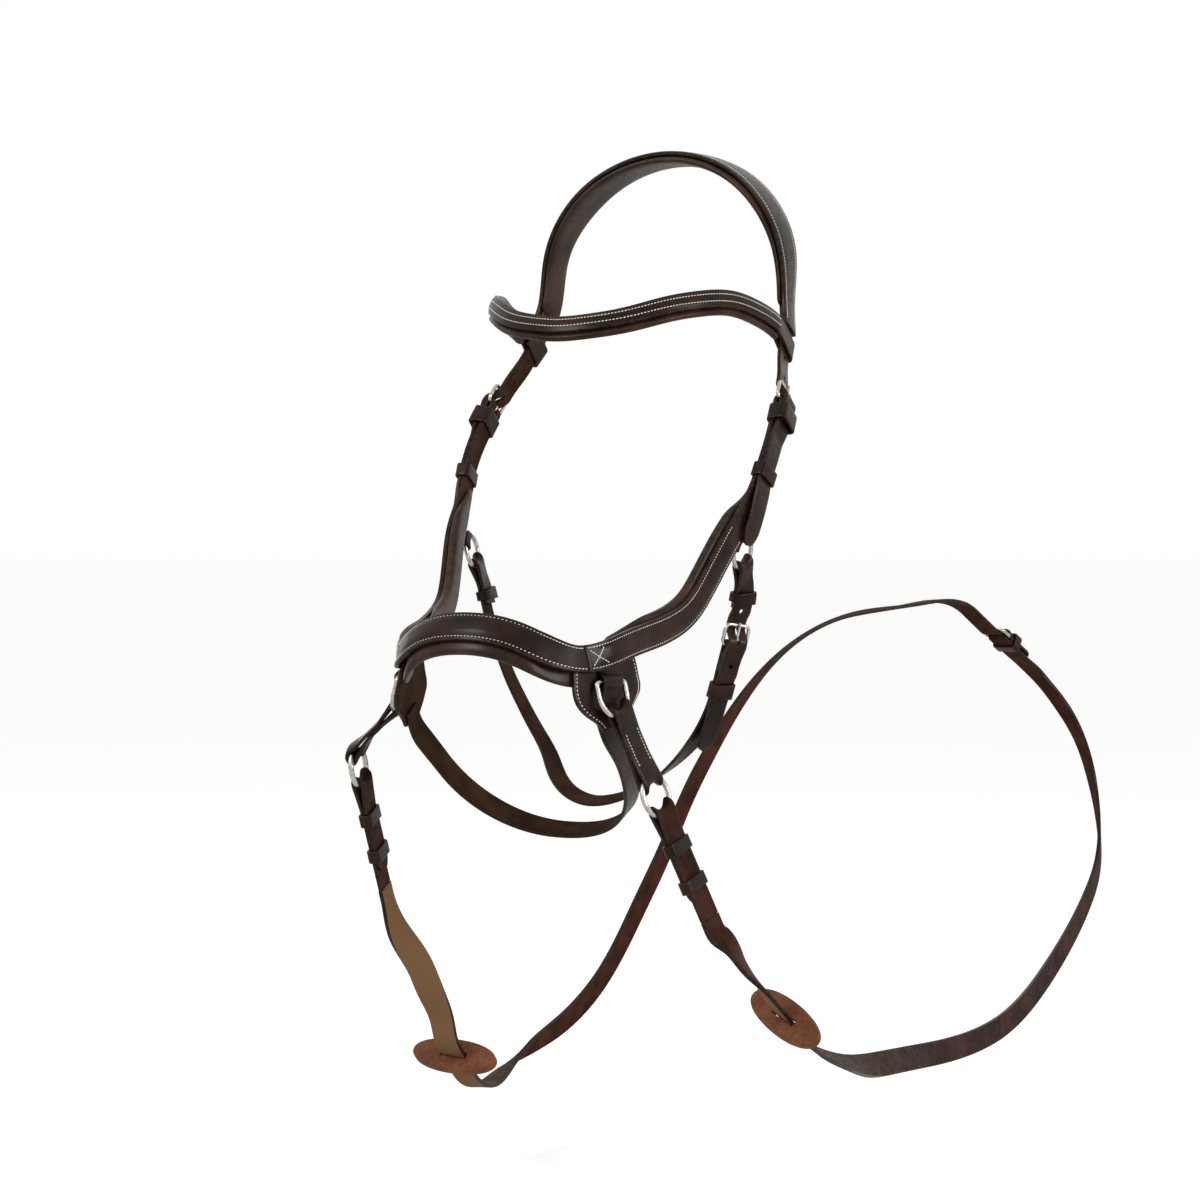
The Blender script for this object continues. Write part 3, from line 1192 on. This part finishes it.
def chape_rows(meeting, buckling):
    """End of the left rein, folded round the buckle bar."""
    path = buckling.chape()[::-1]
    inner = [(REIN_BUCKLE_SPAN * 0.62, buckling.level + REIN_END_THICKNESS / 2)]
    rows = ribbon_rows(meeting.place, inner + path, REIN_HALF_WIDTH, CHAPE_THICKNESS,
                       outline(NARROW_LATERAL_SHARES))
    half = len(NARROW_LATERAL_SHARES)
    return [row[half:] + row[:half] for row in rows]


def billet_rows(meeting, buckling):
    """Holed end of the right rein, through the buckle and its keeper to a rounded tip."""
    path = buckling.billet_path()
    end = REIN_BUCKLE_SPAN * 0.98
    path = [place for place in path if place[0] < end - 0.013]
    height = path[-1][1]
    path += [(end - 0.011 * share, height) for share in (1.0, 0.75, 0.5, 0.28, 0.1, 0.0)]
    widths = tip_widths(REIN_HALF_WIDTH, [length for length, _ in path], end - 0.011, end)
    flipped_shape = outline(NARROW_LATERAL_SHARES)
    return ribbon_rows(meeting.place, path, widths, REIN_END_THICKNESS, flipped_shape)


def rein_stop(side, frame):
    """Slotted leather stop on a rein, square to the leather."""
    name = side + "_rein_stop"
    built = bmesh.new()
    corners = []
    for end in (1, -1):
        for share, width in ((0.62, 0.80), (0.88, 0.52), (1.0, 0.0)):
            corners.append((end * share * REIN_STOP_LENGTH / 2, end * width * REIN_STOP_WIDTH / 2))
        for share, width in ((0.88, 0.52), (0.62, 0.80)):
            corners.append((end * share * REIN_STOP_LENGTH / 2, -end * width * REIN_STOP_WIDTH / 2))
        corners.append((0.0, -end * REIN_STOP_WIDTH / 2))
    low = [built.verts.new((-REIN_STOP_THICKNESS / 2, y, z)) for y, z in corners]
    high = [built.verts.new((REIN_STOP_THICKNESS / 2, y, z)) for y, z in corners]
    built.faces.new(low[::-1])
    built.faces.new(high)
    for index in range(len(corners)):
        after = (index + 1) % len(corners)
        built.faces.new((low[index], low[after], high[after], high[index]))
    bmesh.ops.recalc_face_normals(built, faces=built.faces)
    mesh = bpy.data.meshes.new(name)
    built.to_mesh(mesh)
    built.free()
    mesh.transform(frame.matrix())
    stop = add_object(name, mesh, stop_leather, frame.origin)
    slot = bmesh.new()
    size = (3 * REIN_STOP_THICKNESS, 2 * (REIN_HALF_WIDTH + 2 * SLEEVE_GAP),
            REIN_THICKNESS + 4 * SLEEVE_GAP)
    bmesh.ops.create_cube(slot, size=1, matrix=frame.matrix() @ Matrix.Diagonal((*size, 1)))
    slot_shape = bpy.data.meshes.new(name + "_slot")
    slot.to_mesh(slot_shape)
    slot.free()
    add_cut(stop, slot_shape, name + "_slot")


def jaw_ring_frame():
    """Left jaw ring: origin at its centre, along down the jaw strap."""
    centre = form_point(JAW_RING_STATION, JAW_RING_ANGLE)
    centre = centre + form_normal(JAW_RING_STATION, JAW_RING_ANGLE) * JAW_RING_HEIGHT
    below = form_point(*jaw_knot_shares[0]) + form_normal(*jaw_knot_shares[0]) * JAW_RING_HEIGHT
    return Frame(centre, below - centre, form_normal(JAW_RING_STATION, JAW_RING_ANGLE))


def jaw_route():
    """Line of the jaw strap from the left ring's centre, under the jaw, to the right ring's centre."""
    ring = jaw_ring_frame()
    points = [ring.origin, ring.place(JAW_RING_RADIUS * 2, 0, 0)]
    outs = [ring.out, ring.out]
    for station, angle in jaw_knot_shares[:-1]:
        points.append(form_point(station, angle) + form_normal(station, angle) * JAW_RING_HEIGHT)
        outs.append(form_normal(station, angle))
    middle = form_point(*jaw_knot_shares[-1]) + form_normal(*jaw_knot_shares[-1]) * JAW_RING_HEIGHT
    right = [flipped(point, True) for point in points[::-1]]
    right_outs = [flipped(out, True) for out in outs[::-1]]
    return Route(points + [middle] + right, outs + [form_normal(*jaw_knot_shares[-1])] + right_outs, 500)


JAW = jaw_route()
JAW_LEVEL = -0.0031


def jaw_bar_length():
    mark = form_point(JAW_BAR_STATION, np.interp(
        JAW_BAR_STATION, [knot[0] for knot in jaw_knot_shares], [knot[1] for knot in jaw_knot_shares]))
    distances = np.linalg.norm(JAW.points[:250] - mark, axis=1)
    return float(JAW.lengths[int(np.argmin(distances))])


def jaw_rings():
    """Jaw rings and the small tabs that hold them behind the cheek arms."""
    for side, mirror in sides():
        ring = mirror_frame(jaw_ring_frame(), mirror)
        name = side + "_jaw_ring"
        add_object(name, ring_mesh(name, ring, JAW_RING_RADIUS, JAW_RING_WIRE), bright_metal,
                   ring.origin)
        centre = jaw_ring_frame()
        target = ARM.on_form(ARM.length_at(JAW_RING_STATION - 0.006), -0.88 * CHEEK_ARM_HALF_WIDTH,
                             JAW_RING_HEIGHT)
        reach = target - centre.origin
        reach = reach - centre.out * np.dot(reach, centre.out)
        frame = Frame(centre.origin, reach, centre.out)
        contact = JAW_RING_RADIUS
        turn = JAW_RING_WIRE + WIRE_GAP + JAW_TAB_THICKNESS / 2
        flat = JAW_TAB_THICKNESS / 2 + SEAT_GAP / 2
        end = contact + JAW_TAB_LENGTH
        path = [(end, -flat - 0.0009)]
        path += turn_path(contact, 0, turn, -70, -290, 9)
        path += [(end, flat - 0.0009)]
        conform = ring_conform(JAW_RING_RADIUS, JAW_RING_WIRE, contact, (-1, 0), 0.004, 0.010)
        rows = ribbon_rows(frame.place, path, JAW_TAB_HALF_WIDTH, JAW_TAB_THICKNESS,
                           outline(RING_LATERAL_SHARES), conform)
        add_loft(side + "_jaw_ring_tab", rows, strap_leather, mirror=mirror)


def jaw_straps():
    """Left jaw billet and the jaw strap that it buckles to."""
    buckling = Buckling(jaw_bar_length(), JAW_LEVEL, JAW_THICKNESS, JAW_THICKNESS)
    contact = JAW_RING_RADIUS
    turn = JAW_RING_WIRE + WIRE_GAP + JAW_THICKNESS / 2
    flat = JAW_THICKNESS / 2 + SEAT_GAP / 2
    conform = ring_conform(JAW_RING_RADIUS, JAW_RING_WIRE, contact, (-1, 0), 0.004, 0.014)
    fold_end = contact + JAW_FOLD_LENGTH
    back = [(fold_end, -flat - 0.0005), (contact + 0.8 * JAW_FOLD_LENGTH, -flat - 0.0005),
            (contact + 0.6 * JAW_FOLD_LENGTH, -flat - 0.0005),
            (contact + 0.35 * JAW_FOLD_LENGTH, -flat - 0.0003)]
    path = back + turn_path(contact, 0, turn, -70, -290, 9)
    path += [(contact + 0.35 * JAW_FOLD_LENGTH, flat), (contact + 0.7 * JAW_FOLD_LENGTH, flat - 0.0004),
             (fold_end + 0.002, flat - 0.0008)]
    middle = buckling.billet_path()
    path += [(length, path[-1][1] + (buckling.under - path[-1][1]) * smooth_step(
        length, fold_end, middle[0][0])) for length in eased(fold_end + 0.002, middle[0][0], 4)[1:-1]]
    path += middle
    end = buckling.bar + 0.077
    path += [(length, buckling.on_strap + 0.006 * smooth_step(length, path[-1][0] + 0.01, end))
             for length in eased(middle[-1][0], end - BILLET_TIP_LENGTH, 5)[1:]]
    path += [(end - BILLET_TIP_LENGTH * share, path[-1][1] + 0.001 * (1 - share))
             for share in (0.75, 0.5, 0.28, 0.1, 0.0)]
    widths = tip_widths(JAW_HALF_WIDTH, [length for length, _ in path], end - BILLET_TIP_LENGTH, end)
    rows = ribbon_rows(JAW.place, path, widths, JAW_THICKNESS, outline(JAW_LATERAL_SHARES), conform)
    billet = add_loft("jaw_billet", rows, strap_leather)
    slot = tongue_slot_frame(JAW.frame, buckling)
    add_cut(billet, hole_mesh("jaw_billet_slot", [slot], HOLE_RADIUS, 2.6, 6 * JAW_THICKNESS),
            "jaw_billet_slot")
    spots = [slot_length for slot_length in (
        buckling.bar - 0.47 * BUCKLE_LENGTH - 0.9 * HOLE_PITCH,
        buckling.bar + 0.75 * HOLE_PITCH, buckling.bar + 2.05 * HOLE_PITCH)]
    holes = [JAW.frame(spot).moved(0, 0, float(np.interp(
        spot, [length for length, _ in path[13:]], [height for _, height in path[13:]])))
        for spot in spots]
    add_cut(billet, hole_mesh("jaw_billet_holes", holes, HOLE_RADIUS, 1.0, 3.2 * JAW_THICKNESS),
            "jaw_billet_holes")
    jaw_lower_strap(buckling)
    bar = JAW.frame(buckling.bar).moved(0, 0, buckling.height)
    add_buckle("jaw_buckle", bar, JAW_HALF_WIDTH)
    half = JAW_HALF_WIDTH + SLEEVE_GAP
    low = buckling.level - SLEEVE_GAP
    middle_length = buckling.bar + 1.75 * CHAPE_LENGTH
    frame = JAW.frame(middle_length)
    top = buckling.on_strap + JAW_THICKNESS / 2 + 2 * SLEEVE_GAP
    rows = sleeve_rows(frame.place, -0.0055, 0.0055, half, low, top, KEEPER_THICKNESS)
    add_loft("jaw_sliding_keeper", rows, strap_leather, closed=True, origin=frame.origin)
    for side, mirror in sides():
        start = contact + 0.62 * JAW_FOLD_LENGTH
        top = flat + JAW_THICKNESS / 2 + SLEEVE_GAP
        rows = sleeve_rows(JAW.place, start, start + 0.0075, half, -top - 0.0012, top,
                           KEEPER_THICKNESS)
        add_loft(side + "_jaw_fixed_keeper", rows, strap_leather, closed=True, mirror=mirror)


def jaw_lower_strap(buckling):
    """Jaw strap from its fold round the buckle bar, under the jaw, to its fold round the right ring."""
    path = buckling.chape()
    level = JAW_LEVEL + JAW_THICKNESS / 2
    start = buckling.bar + 1.0 * CHAPE_LENGTH
    contact = JAW.total - JAW_RING_RADIUS
    turn = JAW_RING_WIRE + WIRE_GAP + JAW_THICKNESS / 2
    flat = JAW_THICKNESS / 2 + SEAT_GAP / 2
    fold = contact - JAW_FOLD_LENGTH
    run = eased(start, fold, 28)
    path += [(length, level + (flat - level) * smooth_step(length, fold - 0.05, fold))
             for length in run]
    path += [(contact - share * JAW_FOLD_LENGTH, flat) for share in (0.8, 0.6, 0.35)]
    path += turn_path(contact, 0, turn, 110, -110, 9)
    path += [(contact - share * JAW_FOLD_LENGTH, -flat - 0.0005) for share in (0.35, 0.6, 0.8, 0.95)]
    thickness = [CHAPE_THICKNESS] * 12 + [JAW_THICKNESS] * (len(path) - 12)
    conform = ring_conform(JAW_RING_RADIUS, JAW_RING_WIRE, contact, (1, 0), 0.004, 0.014)
    rows = ribbon_rows(JAW.place, path, JAW_HALF_WIDTH, thickness, outline(JAW_LATERAL_SHARES), conform)
    strap = add_loft("jaw_strap", rows, strap_leather)
    slot = JAW.frame(buckling.bar).moved(-buckling.turn / 2, 0, buckling.height + buckling.turn / 2)
    add_cut(strap, slot_mesh("jaw_strap_slot", slot, buckling.turn), "jaw_strap_slot")


def clear_scene():
    """Start from an empty scene with one collection for the parts and one for the cutters."""
    for existing in list(bpy.data.objects):
        bpy.data.objects.remove(existing, do_unlink=True)
    for name in (PARTS, CUTTERS):
        bpy.context.scene.collection.children.link(bpy.data.collections.new(name))


def build():
    """Build every part of the bridle."""
    clear_scene()
    crown()
    browband()
    noseband()
    chin_strap()
    for side, mirror in sides():
        cheek_billet(side, mirror)
        cheek_arm(side, mirror)
        cheek_hardware(side, mirror)
        cheek_pad(side, mirror)
        side_patch(side, mirror)
        dee_tab(side, mirror)
    left_ring = add_hanger("left", False, 0.0, 0.0)
    right_ring = add_hanger("right", True, RIGHT_CONNECTOR_TURN, RIGHT_RING_TURN)
    left_start = rein_end("left", left_ring)
    right_start = rein_end("right", right_ring)
    jaw_rings()
    jaw_straps()
    reins(left_start, right_start)


build()
